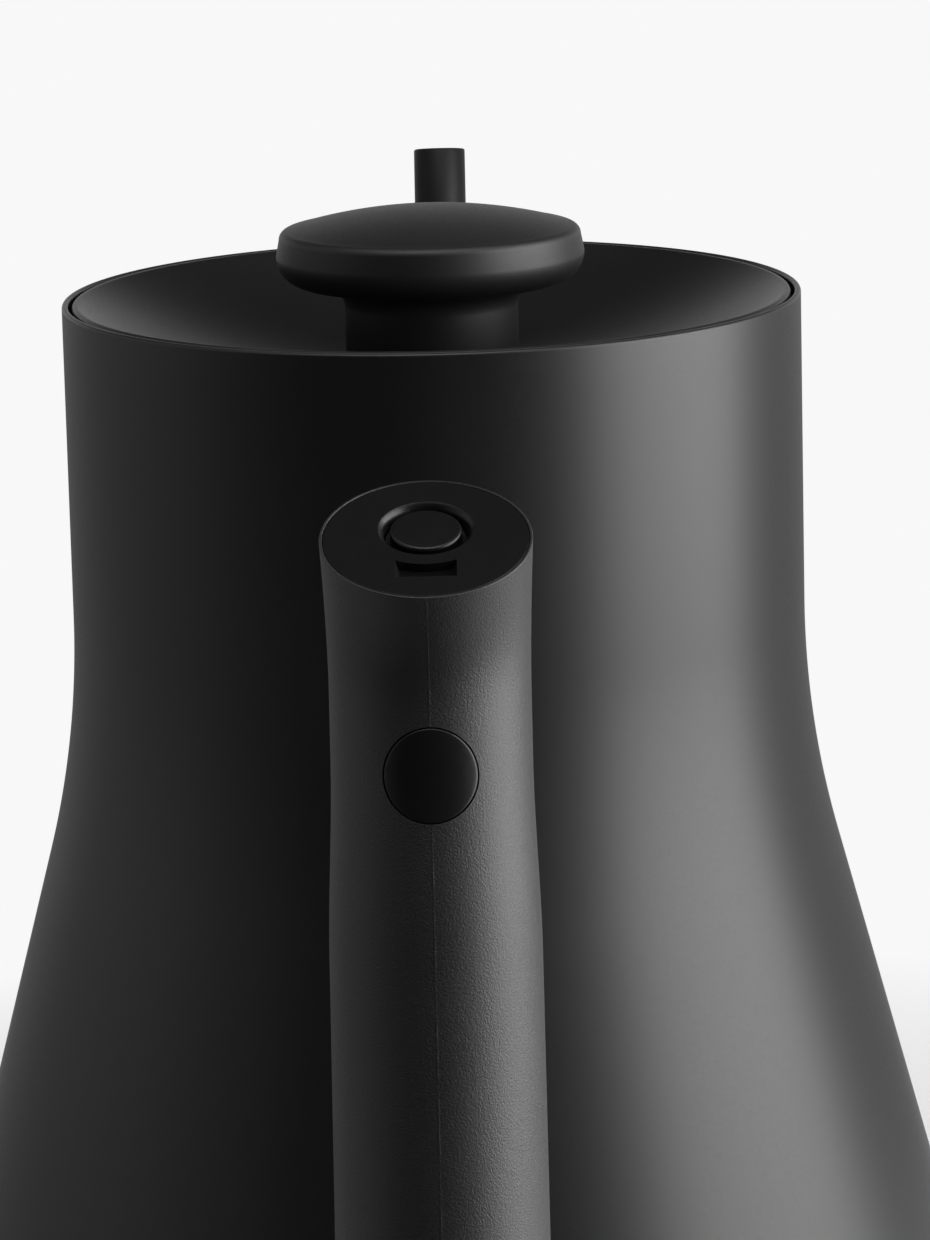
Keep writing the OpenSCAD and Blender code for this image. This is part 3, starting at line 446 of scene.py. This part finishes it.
def gripRadius(s):
    # waist, plus a swelling 3t^2 - 2t^3 below it, a slow even growth down to the arm, and a flare to the top
    # that goes as t to flarePower
    st, h = handleLine["stops"], handle
    low, waist = h["lowD"] / 2, h["waistD"] / 2
    swollen = st[3] - h["waistLen"] - h["swell"]
    t = np.clip(1 + (swollen - s) / h["swell"], 0, 1)
    growth = h["growth"] * np.clip(swollen - s, 0, swollen - st[1])
    arm = (h["armD"] / 2 - low - h["growth"] * (swollen - st[1])) * np.clip(1 - s / st[1], 0, 1)
    flare = np.clip(1 - (handleLine["end"] - s) / h["flareLen"], 0, 1) ** h["flarePower"]
    return waist + (low - waist) * t * t * (3 - 2 * t) + growth + arm + (h["topD"] / 2 - waist) * flare


def routeFrame(s, axis):  # matrix at distance s with Z along the route, or out of the handle's back
    u, z, h = (float(onRoute(handleLine, s, k)) for k in "uzh")
    along = np.array([0, -math.cos(h), math.sin(h)])
    out = np.array([0, -math.sin(h), -math.cos(h)])
    zAxis, yAxis = (along, out) if axis == "along" else (out, -along)
    m = np.eye(4)
    m[:3, 0], m[:3, 1], m[:3, 2], m[:3, 3] = np.cross(yAxis, zAxis), yAxis, zAxis, (0, -u, z)
    return m


rearPlug = {"d": 10.4 * mm, "gap": 0.07 * mm, "drop": 8.85 * mm, "seat": 3 * mm, "edge": 0.3 * mm,
            "sink": 0.03 * mm, "lift": 0.02 * mm, "boreH": 8 * mm, "columns": 96}
plugAt = handleLine["stops"][3] - rearPlug["drop"]
plugFrame = routeFrame(plugAt, "out")
plugSeat = float(gripRadius(plugAt)) - rearPlug["seat"]
topFrame = routeFrame(handleLine["end"], "along")


def makeGrip():  # radius along the route plus a thin parting ridge, front and back, then a lip and a well
    h = handle
    close = np.radians(h["seamColumns"])
    a = np.r_[np.linspace(0, 2 * np.pi, h["columns"], endpoint=False), close, 2 * np.pi - close,
              np.pi + close, np.pi - close]
    a = np.unique(np.round(a, 7))
    off = np.abs((a + np.pi / 2) % np.pi - np.pi / 2)
    s0 = trimTo(handleLine, a, gripRadius, -1, 0, h["inset"] + h["rootReach"], pastCone)
    end, e = handleLine["end"], h["edge"]
    s = s0 + (end - e - s0) * np.linspace(0, 1, h["rows"])[:, None]
    mean, swing = h["wear"]  # the ridge is uneven along its length
    worn = mean + swing * np.sin(s / h["wearLens"][0]) * np.sin(s / h["wearLens"][1])
    ridge = h["seamH"] * worn * np.exp(-((off / math.radians(h["seamDeg"])) ** 2))
    side = tubePoint(handleLine, s, a + 0 * s, gripRadius(s) + ridge, -1)
    rim, well = h["topD"] / 2, h["topD"] / 2 - h["lipT"]
    spigot = h["waistD"] / 2 - h["spigotWall"]
    lip = joinProfile(arcPoints(rim - e, -e, e, 12, 90, 8), [(well + h["lipEdge"], 0), (well, -h["lipEdge"])],
                      [(well, -h["capRim"]), (spigot, -h["capRim"]), (spigot, -h["capT"]), (0, -h["capT"])])
    inner = np.stack([-lip[:, :1] * np.sin(a), lip[:, :1] * np.cos(a), lip[:, 1:] + 0 * a], -1)
    inner = moved(inner, topFrame)
    rootCap = np.repeat(side[0].mean(0)[None, None], len(a), 1)
    obj = gridPiece("handleGrip", np.concatenate([rootCap, side, inner]))
    r, high = rearPlug["d"] / 2, plugSeat + rearPlug["boreH"]
    bore = np.array([(0, plugSeat), (r, plugSeat), (r, high), (0, high)])
    cutAway(obj, gridPiece("plugCutter", turnedGrid(bore, rearPlug["columns"], plugFrame)))
    return place(obj, "kettle", "grip_plastic", "handle_grip")


def makeRearPlug():  # face height is the root of grip radius squared less x squared, with a rounded edge
    p = rearPlug
    r, e = p["d"] / 2 - p["gap"], p["edge"]
    a = np.linspace(0, 2 * np.pi, p["columns"], endpoint=False)[None, :]
    rho = np.r_[np.linspace(0, 1, 16)[:-1] * (r - e), r - e + e * np.sin(np.linspace(0, np.pi / 2, 7))]
    rho = rho[:, None]
    fall = e - np.sqrt(np.maximum(e**2 - np.maximum(rho - (r - e), 0) ** 2, 0))
    x, y = rho * np.cos(a), rho * np.sin(a)
    face = np.stack([x, y, np.sqrt(gripRadius(plugAt - y) ** 2 - x**2) - fall - p["sink"]], -1)
    foot = np.stack([r * np.cos(a), r * np.sin(a), plugSeat + p["lift"] + 0 * a], -1)
    grid = moved(np.concatenate([face, foot, foot * [0, 0, 1]]), plugFrame)
    return place(gridPiece("rearPlug", grid), "kettle", "cover_plastic", "rear_plug")


endCap = {"setIn": 0.03 * mm, "shift": 2.05 * mm, "gap": 0.09 * mm, "lift": 0.02 * mm, "edge": 0.06 * mm,
          "recessD": 10.4 * mm, "recessDepth": 1.8 * mm, "recessFillet": 0.3 * mm, "recessEdge": 1.6 * mm,
          "recessSlope": 35.0, "recessPast": 2.0, "recessOver": 2 * mm, "notchW": 6.6 * mm,
          "notchLen": 2.4 * mm, "notchDeep": 1 * mm, "notchShallow": 0.4 * mm, "notchSide": 0.45 * mm,
          "notchOver": 1 * mm, "land": 1.8 * mm, "sharpDeg": 15, "columns": 160, "recessColumns": 128}
capPlug = {"d": 7.8 * mm, "sink": 0.15 * mm, "edge": 0.4 * mm, "crown": 0.06 * mm, "columns": 96}
recessFrame = topFrame.copy()
recessFrame[:3, 3] -= topFrame[:3, 1] * endCap["shift"]


def makeEndCap():  # disc with a rounded edge, less a round recess and a notch that is deepest beside it
    c, h = endCap, handle
    r, top, e, f = h["topD"] / 2 - h["lipT"] - c["gap"], -c["setIn"], c["edge"], c["recessEdge"]
    low, under = c["lift"] - h["capT"], c["lift"] - h["capRim"]
    spigot = h["waistD"] / 2 - h["spigotWall"] - c["gap"] - c["lift"]
    disc = joinProfile([(0, low), (spigot, low), (spigot, under), (r, under)],
                       arcPoints(r - e, top - e, e, 0, 90, 9), [(0, top)])
    obj = gridPiece("endCap", turnedGrid(disc, c["columns"], topFrame))
    floor, rr, e = top - c["recessDepth"], c["recessD"] / 2, c["recessFillet"]
    lean, over = 90 + c["recessSlope"], top + c["recessOver"]
    fx, fz = rr - f * math.cos(math.radians(lean)), top - f * math.sin(math.radians(lean))
    recess = joinProfile([(0, floor), (fx - f - e, floor)], arcPoints(fx - f - e, floor + e, e, -90, 0, 9),
                         arcPoints(fx, fz, f, 180, lean - c["recessPast"], 12))  # runs just past the face
    recess = joinProfile(recess, [(recess[-1, 0], over), (0, over)])
    cutAway(obj, gridPiece("recessCutter", turnedGrid(recess, c["recessColumns"], recessFrame)))
    half, side = c["notchW"] / 2, c["notchSide"]
    wide = np.r_[-half, np.linspace(side - half, half - side, 23), half]
    near = np.sqrt((rr + c["land"]) ** 2 - wide**2)  # the steep end keeps an even land round the recess
    far = rr + c["land"] + c["notchLen"] + 0 * wide
    full = np.clip((half - np.abs(wide)) / side, 0, 1)  # 0 at the face, 1 along the floor
    deep, shallow = top - c["notchDeep"] * full, top - c["notchShallow"] * full
    above = top + c["notchOver"] + 0 * wide
    ring = np.stack([np.stack(p, -1) for p in ((wide, near, deep), (wide, far, shallow),
                                               (wide, far, above), (wide, near, above))], 1)
    caps = [np.repeat(ring[k].mean(0)[None, None], 4, 1) for k in (0, -1)]
    wedge = moved(np.concatenate([caps[0], ring, caps[1]]), recessFrame)
    cutAway(obj, gridPiece("rampCutter", wedge), c["sharpDeg"])
    evenNormals(obj)
    return place(obj, "kettle", "cover_plastic", "end_cap")


def makeCapPlug():  # low button with a rounded edge and a faint crown
    c, p = endCap, capPlug
    r, top, e = p["d"] / 2, -c["setIn"] - p["sink"], p["edge"]
    low = -c["setIn"] - c["recessDepth"] + c["lift"]
    crown = joinProfile([(0, low), (r, low)], arcPoints(r - e, top - e, e, 0, 82, 10),
                        linePoints((r - e, top), (0, top + p["crown"]), 8))
    obj = gridPiece("endCapPlug", turnedGrid(crown, p["columns"], recessFrame))
    return place(obj, "kettle", "cover_plastic", "end_cap_plug")


lid = {"gap": 0.42 * mm, "dish": 12 * mm, "sheet": 0.8 * mm, "edgeR": 0.6 * mm, "edgeH": 2.2 * mm,
       "stepH": 0.8 * mm, "skirtR": 44.1 * mm, "skirt": 8.5 * mm, "screwR": 2.1 * mm, "seatMore": 0.6 * mm,
       "columns": 240}
knob = {"d": 38.4 * mm, "rise": 8.3 * mm, "dome": 2.5 * mm, "disc": 6.8 * mm, "stemD": 21.6 * mm,
        "round": 3.6 * mm, "fillet": 3 * mm, "shoulder": 1.1 * mm, "taper": 0.4 * mm, "boreR": 4.1 * mm,
        "boreH": 8.1 * mm, "footEdge": 0.3 * mm, "sharpDeg": 45, "columns": 192}


def lidShape():  # ball radius from half width and depth: (width squared + depth squared) / (2 depth)
    p = lid
    r, top = vessel["neckR"] - vessel["wall"] - p["gap"], vessel["height"]
    ex, ez = r - p["edgeR"], top - p["edgeR"]
    reach = (ex**2 + p["dish"] ** 2) / (2 * p["dish"])
    ball = reach - p["edgeR"]
    seat = math.asin((knob["stemD"] / 2 + p["seatMore"]) / ball)
    ballZ = top - p["dish"] + ball
    return {"r": r, "top": top, "ex": ex, "ez": ez, "ball": ball, "ballZ": ballZ,
            "deg": math.degrees(math.asin(ex / reach)), "seatDeg": math.degrees(seat),
            "seatZ": ballZ - ball * math.cos(seat)}


dish = lidShape()


def makeLidPan():  # flat seat, dish arc, rounded edge and stepped skirt, out and back as one closed profile
    p, d = lid, dish
    t, low, step = p["sheet"], d["top"] - p["skirt"], d["top"] - p["edgeH"]
    wall = p["skirtR"] - t
    under = math.degrees(math.asin(wall / (d["ball"] + t)))
    profile = joinProfile(
        [(p["screwR"], d["seatZ"])],
        arcPoints(0, d["ballZ"], d["ball"], -90 + d["seatDeg"], -90 + d["deg"], 60),
        arcPoints(d["ex"], d["ez"], p["edgeR"], 90 + d["deg"], 0, 20),
        [(d["r"], step), (p["skirtR"], step - p["stepH"]), (p["skirtR"], low), (wall, low)],
        arcPoints(0, d["ballZ"], d["ball"] + t, -90 + under, -90 + d["seatDeg"], 60),
        [(p["screwR"], d["seatZ"] - t)])
    obj = gridPiece("lidPan", turnedGrid(profile, p["columns"]), wrapRows=True)
    return place(obj, "lid", "body_coat", "lid_pan")


def makeKnob():  # insert bore, stem, fillet, rounded disc edge, shoulder and shallow dome turned about Z
    k, d = knob, dish
    r, stem = k["d"] / 2, k["stemD"] / 2
    shoulderZ = vessel["height"] + k["rise"]
    low, f = shoulderZ - k["disc"], k["fillet"]
    edge, foot, boreTop = r - k["taper"] - k["shoulder"], k["footEdge"], d["seatZ"] + k["boreH"]
    ball = (edge**2 + k["dome"] ** 2) / (2 * k["dome"])
    deg = math.degrees(math.asin(edge / ball))
    profile = joinProfile(
        [(0, boreTop), (k["boreR"], boreTop), (k["boreR"], d["seatZ"])],
        [(stem - foot, d["seatZ"]), (stem, d["seatZ"] + foot)],
        arcPoints(stem + f, low - f, f, 180, 90, 14),
        arcPoints(r - k["round"], low + k["round"], k["round"], -90, 0, 18),
        arcPoints(edge, shoulderZ - k["shoulder"], k["shoulder"], 0, 90 - deg, 12),
        arcPoints(0, shoulderZ + k["dome"] - ball, ball, 90 - deg, 90, 28))
    obj = gridPiece("lidKnob", turnedGrid(profile, k["columns"]), sharpDeg=k["sharpDeg"])
    return place(obj, "lid", "knob_plastic", "lid_knob")


screws = {"baseScrew": {"node": "base_screws", "body": "kettle", "ring": 51 * mm, "degs": (90, 210, 330),
                        "headR": 2.6 * mm, "headH": 1.6 * mm, "shankR": 1.4 * mm, "edge": 0.6 * mm},
          "knobScrew": {"node": "knob_screw", "body": "lid", "ring": 0.0, "degs": (0,),
                        "headR": 4 * mm, "headH": 2.2 * mm, "shankR": 2 * mm, "edge": 0.9 * mm}}
driveCross = {"deep": 0.4, "half": 0.15, "reach": 0.58, "slope": 0.06, "tip": 0.15, "sharpDeg": 30,
              "columns": 120}


def makeScrews():
    # turned head and shank; the face is sunk where the smaller of |x| and |y| is within half and the larger
    # within reach, both with a slope, all as shares of the head's radius
    c = driveCross
    for name, p in screws.items():
        low, tip = (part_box(p["node"])[k][2] for k in (0, 1))
        r, e, shank, seat, end = p["headR"], p["edge"], p["shankR"], low + p["headH"], c["tip"] * p["headR"]
        face = linePoints((0, low), (r - e, low), 40)
        profile = joinProfile(face, arcPoints(r - e, low + e, e, -90, 0, 9), [(r, seat), (shank, seat)],
                              [(shank, tip - end), (shank - end, tip), (0, tip)])
        grid = turnedGrid(profile, c["columns"])
        u, v = np.abs(grid[:len(face), :, 0]) / r, np.abs(grid[:len(face), :, 1]) / r
        sunk = np.clip((c["half"] - np.minimum(u, v)) / c["slope"], 0, 1)
        sunk = sunk * np.clip((c["reach"] - np.maximum(u, v)) / c["slope"], 0, 1)
        grid[:len(face), :, 2] += c["deep"] * r * sunk
        for n, deg in enumerate(p["degs"], 1):
            spot = [p["ring"] * math.cos(math.radians(deg)), p["ring"] * math.sin(math.radians(deg)), 0]
            obj = gridPiece(name + str(n), grid + spot, sharpDeg=c["sharpDeg"])
            place(obj, p["body"], "screw_steel", p["node"])


for make in (makeVessel, makeSpout, makeGrip, makeRearPlug, makeEndCap, makeCapPlug, makeLidPan, makeKnob,
             makeScrews):
    make()

stageSet = {"white": 0.939, "ambient": 0.15, "floorSize": 6.0, "floorNear": 0.12, "floorFar": 0.26,
            "floorTones": (0.87, 0.89), "floorCloud": 3.0, "floorRough": 0.7}
lamps = {
    "rightPanel": {"at": (0.36, -0.11, 0.21), "aim": (0, -0.07, 0.14), "size": (0.4, 0.46), "watts": 3.15},
    "leftPanel": {"at": (-0.9, 0.05, 0.4), "aim": (0, 0, 0.1), "size": (0.8, 0.8), "watts": 0.4},
    "topPanel": {"at": (0.0, -0.35, 1.0), "aim": (0, 0, 0.15), "size": (0.5, 0.3), "watts": 1.5},
}
room = {"wide": 1.3, "top": 1.9, "card": 0.002, "clear": 0.12, "litTo": 0.4, "band": 0.66, "over": 0.35,
        "steps": (-0.8, -0.45, -0.25, -0.13, 0.15)}  # depths at which the floor cards change their tone
roomTones = {"front": 0.002, "mid": 0.015, "near": 0.05, "apron": 0.07, "left": 0.27, "band": 0.8,
             "back": 0.05, "right": 0.36, "lit": 0.9, "over": 1.2, "top": 0.02}  # white is 1


def viewRays(tree):  # 1 for camera, glossy and transmitted rays, 0 for the rest
    path = tree.nodes.new("ShaderNodeLightPath")
    rays = path.outputs["Is Camera Ray"]
    for more in ("Is Glossy Ray", "Is Transmission Ray"):
        node = tree.nodes.new("ShaderNodeMath")
        node.operation = "MAXIMUM"
        tree.links.new(rays, node.inputs[0])
        tree.links.new(path.outputs[more], node.inputs[1])
        rays = node.outputs[0]
    return rays


def roomCards():  # walls, top and floor cards of a plain studio, each with its tone
    w, z, c, side = (room[k] for k in ("wide", "top", "card", "clear"))
    lit, band, over = (room[k] for k in ("litTo", "band", "over"))
    y0, y1, y2, y3, y4 = room["steps"]
    wall = lambda ax, ay, bx, by, low, high: [(ax, ay, low), (bx, by, low), (bx, by, high), (ax, ay, high)]
    flat = lambda ax, ay, bx, by, h: [(ax, ay, h), (bx, ay, h), (bx, by, h), (ax, by, h)]
    return [("front", wall(-w, -w, w, -w, 0, z)), ("left", wall(-w, -w, -w, w, 0, z)),
            ("band", wall(-w, w, w, w, 0, band)), ("back", wall(-w, w, w, w, band, z)),
            ("right", wall(w, -w, w, w, 0, z)), ("over", flat(-w, -w, w, over, z)),
            ("top", flat(-w, over, w, w, z)), ("front", flat(-w, -w, w, y0, c)),
            ("mid", flat(-w, y0, w, y1, c)), ("near", flat(-w, y1, w, y2, c)),
            ("apron", flat(-side, y2, side, y3, c)), ("left", flat(-w, y2, -side, w, c)),
            ("lit", flat(side, y2, lit, y4, c)), ("right", flat(lit, y2, w, y4, c)),
            ("right", flat(side, y4, w, w, c)), ("band", flat(-side, side, side, w, c))]


def stagePlane(name, corners, mat):  # one flat card of the stage
    mesh = bpy.data.meshes.new(name)
    mesh.from_pydata(corners, [], [(0, 1, 2, 3)])
    mesh.materials.append(mat)
    obj = bpy.data.objects.new(name, mesh)
    bpy.context.scene.collection.objects.link(obj)
    return obj


def makeWorld():  # white where it is seen, dimmer as light
    s = stageSet
    world = bpy.data.worlds.new("studio")
    world.use_nodes = True
    sky = world.node_tree.nodes["Background"]
    sky.inputs["Color"].default_value = (1, 1, 1, 1)
    seen = addRange(world.node_tree, viewRays(world.node_tree), s["ambient"], s["white"], 0, 1)
    world.node_tree.links.new(seen, sky.inputs["Strength"])
    bpy.context.scene.world = world


def makeFloor():  # pale near the kettle, fading to the seen white between floorNear and floorFar
    s = stageSet
    floorMat, tree, shader, coord = newMaterial("paleFloor")
    soft = addRange(tree, addNoise(tree, coord, s["floorCloud"]), 0, 1)
    low, high = ((v, v, v) for v in s["floorTones"])
    tree.links.new(addMix(tree, soft, low, high), shader.inputs["Base Color"])
    shader.inputs["Roughness"].default_value = s["floorRough"]
    reach = tree.nodes.new("ShaderNodeVectorMath")
    reach.operation = "LENGTH"
    tree.links.new(coord, reach.inputs[0])
    far = addRange(tree, reach.outputs["Value"], 0, 1, s["floorNear"], s["floorFar"])
    both = tree.nodes.new("ShaderNodeMath")
    both.operation = "MULTIPLY"
    tree.links.new(far, both.inputs[0])
    tree.links.new(viewRays(tree), both.inputs[1])
    white = tree.nodes.new("ShaderNodeEmission")
    white.inputs["Strength"].default_value = s["white"]
    blend = tree.nodes.new("ShaderNodeMixShader")
    tree.links.new(both.outputs[0], blend.inputs[0])
    tree.links.new(shader.outputs[0], blend.inputs[1])
    tree.links.new(white.outputs[0], blend.inputs[2])
    tree.links.new(blend.outputs[0], tree.nodes["Material Output"].inputs["Surface"])
    half = s["floorSize"] / 2
    stagePlane("floor", [(-half, -half, 0), (half, -half, 0), (half, half, 0), (-half, half, 0)], floorMat)


def makeCards():  # seen only in reflections, they light nothing
    for n, (side, corners) in enumerate(roomCards()):
        cardMat, _, shader, _ = newMaterial("card" + side.capitalize())
        shader.inputs["Base Color"].default_value = (0, 0, 0, 1)
        shader.inputs["Specular IOR Level"].default_value = 0
        shader.inputs["Emission Color"].default_value = (1, 1, 1, 1)
        shader.inputs["Emission Strength"].default_value = roomTones[side]
        card = stagePlane("card%d" % n, corners, cardMat)
        card.visible_camera = card.visible_shadow = card.visible_diffuse = False


def makeLamps():  # panels that light the kettle, each turned to its aim
    for name, p in lamps.items():
        lamp = bpy.data.lights.new(name, "AREA")
        lamp.shape, lamp.size, lamp.size_y, lamp.energy = "RECTANGLE", *p["size"], p["watts"]
        obj = bpy.data.objects.new(name, lamp)
        bpy.context.scene.collection.objects.link(obj)
        obj.location = p["at"]
        obj.rotation_euler = (Vector(p["aim"]) - Vector(p["at"])).to_track_quat("-Z", "Y").to_euler()


for make in (makeWorld, makeFloor, makeCards, makeLamps):
    make()
bpy.context.scene.view_settings.view_transform = "Standard"
print("stage set")
